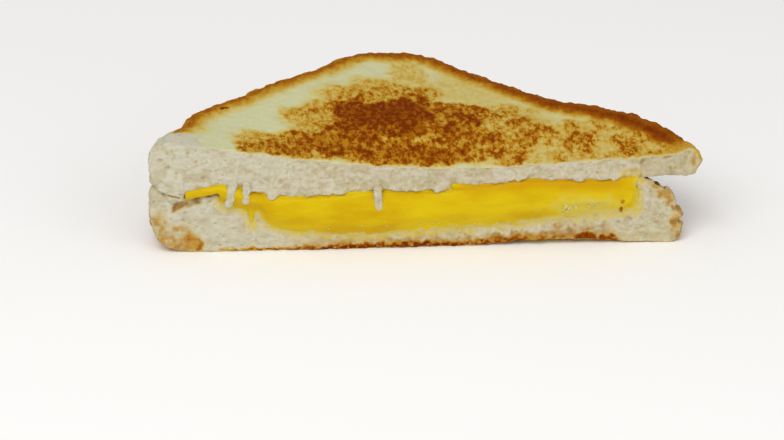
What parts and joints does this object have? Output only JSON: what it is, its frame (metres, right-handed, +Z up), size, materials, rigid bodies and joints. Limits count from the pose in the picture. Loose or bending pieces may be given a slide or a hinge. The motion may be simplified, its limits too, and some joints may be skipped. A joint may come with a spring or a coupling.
{
  "type": "grilled cheese sandwich half",
  "caption": "Triangular half of a grilled cheese sandwich: toasted white bread with a melted cheese layer showing at the diagonal cut, resting flat.",
  "frame": {"origin": "middle of the underside of the whole part's box, on the surface it rests on", "axes": "+X along the cut, towards the thinner tip; +Y from the cut face towards the bread's square corner; +Z up, through the thickness"},
  "size_m": [0.1526, 0.0792, 0.0327],
  "materials": {
    "toasted_bread": "butter-toasted white bread, porous, golden to dark brown",
    "bread": "white bread with a browned crust and a toasted underside",
    "melted_cheese": "melted processed cheese, satin yellow, slightly translucent"
  },
  "bodies": {
    "root": {"bread_bottom": "bread", "bread_top": "toasted_bread", "cheese": "melted_cheese"}
  },
  "joints": []
}
